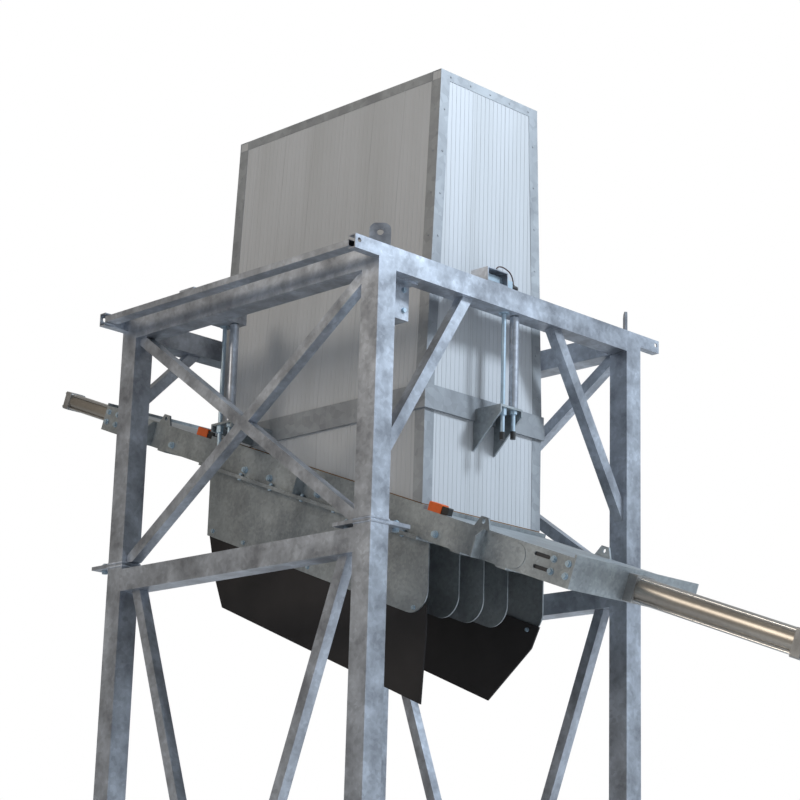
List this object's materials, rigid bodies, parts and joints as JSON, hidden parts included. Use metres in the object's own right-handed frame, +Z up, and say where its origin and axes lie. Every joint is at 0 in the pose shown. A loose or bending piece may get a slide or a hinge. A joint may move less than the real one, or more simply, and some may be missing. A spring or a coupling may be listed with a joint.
{
  "type": "suspended weigh hopper",
  "caption": "Insulated weigh hopper hung on rods and load cells in a braced steel frame, with an inclined double slide gate and a finned chute with rubber skirts.",
  "frame": {"origin": "bottom centre of the bounding box, on the floor", "axes": "+Z up, +Y uphill along the gate and its cylinders, +X to the right seen from the low end"},
  "size_m": [1.974, 4.8054, 4.011],
  "materials": {
    "galvanised": "hot-dip galvanised, spangled",
    "cladding": "light coated sheet",
    "trim": "weathered zinc sheet",
    "zinc": "bright zinc plating",
    "gate_steel": "grey, satin",
    "skirt_rubber": "matt black",
    "sealant": "brown sealing tape",
    "guide_plastic": "dark slide plastic",
    "sensor_orange": "moulded",
    "black_plastic": "moulded",
    "lead_jacket": "dark jacket",
    "barrel": "anodised",
    "head_cast": "die cast",
    "bright_rod": "ground",
    "blade_steel": "mill finish"
  },
  "bodies": {
    "frame": {"base_plates": "galvanised", "beam_stubs": "galvanised", "blade_wiper": "skirt_rubber", "cable_glands": "black_plastic", "chute_fins": "gate_steel", "chute_frame": "gate_steel", "chute_walls": "gate_steel", "corner_trims": "trim", "cylinder_barrels": "barrel", "cylinder_heads": "head_cast", "edge_rail": "galvanised", "flange_plates": "galvanised", "frame_bolts": "zinc", "gate_bolts": "zinc", "gate_channels": "gate_steel", "gate_covers": "gate_steel", "gate_end_plates": "gate_steel", "gate_eyes": "gate_steel", "gate_ribs": "gate_steel", "guide_bolts": "zinc", "guide_strips": "guide_plastic", "hanger_arms": "galvanised", "hanger_brackets": "gate_steel", "hanger_nuts": "zinc", "hanger_rods": "zinc", "hopper_base_frame": "gate_steel", "knee_braces": "galvanised", "lifting_lugs": "galvanised", "load_cell_housings": "galvanised", "load_cell_leads": "lead_jacket", "load_cells": "zinc", "lower_columns": "galvanised", "lower_front_panel": "cladding", "lower_side_beams": "galvanised", "lower_side_panels": "cladding", "position_sensors": "sensor_orange", "ring_beam": "trim", "ring_trim": "trim", "rod_end_caps": "black_plastic", "rubber_skirts": "skirt_rubber", "seal_strip": "sealant", "sensor_plugs": "black_plastic", "skirt_bolts": "zinc", "sleeve_pipes": "zinc", "stay_bracket": "galvanised", "tie_rods": "bright_rod", "top_cross_beams": "galvanised", "top_side_beams": "galvanised", "top_trim": "trim", "upper_columns": "galvanised", "upper_end_panels": "cladding", "upper_side_panels": "cladding", "v_braces": "galvanised", "x_braces": "galvanised"},
    "lower_gate": {"lower_blade": "blade_steel", "lower_fork": "blade_steel", "lower_piston_rod": "bright_rod"},
    "upper_gate": {"upper_blade": "blade_steel", "upper_fork": "blade_steel", "upper_piston_rod": "bright_rod"}
  },
  "joints": [
    {"name": "lower_blade_slide", "type": "slide", "parent": "frame", "child": "lower_gate", "axis": [0, -0.9379, -0.3469], "range_m": [0, 0.75]},
    {"name": "upper_blade_slide", "type": "slide", "parent": "frame", "child": "upper_gate", "axis": [0, 0.9379, 0.3469], "range_m": [0, 0.75]}
  ]
}
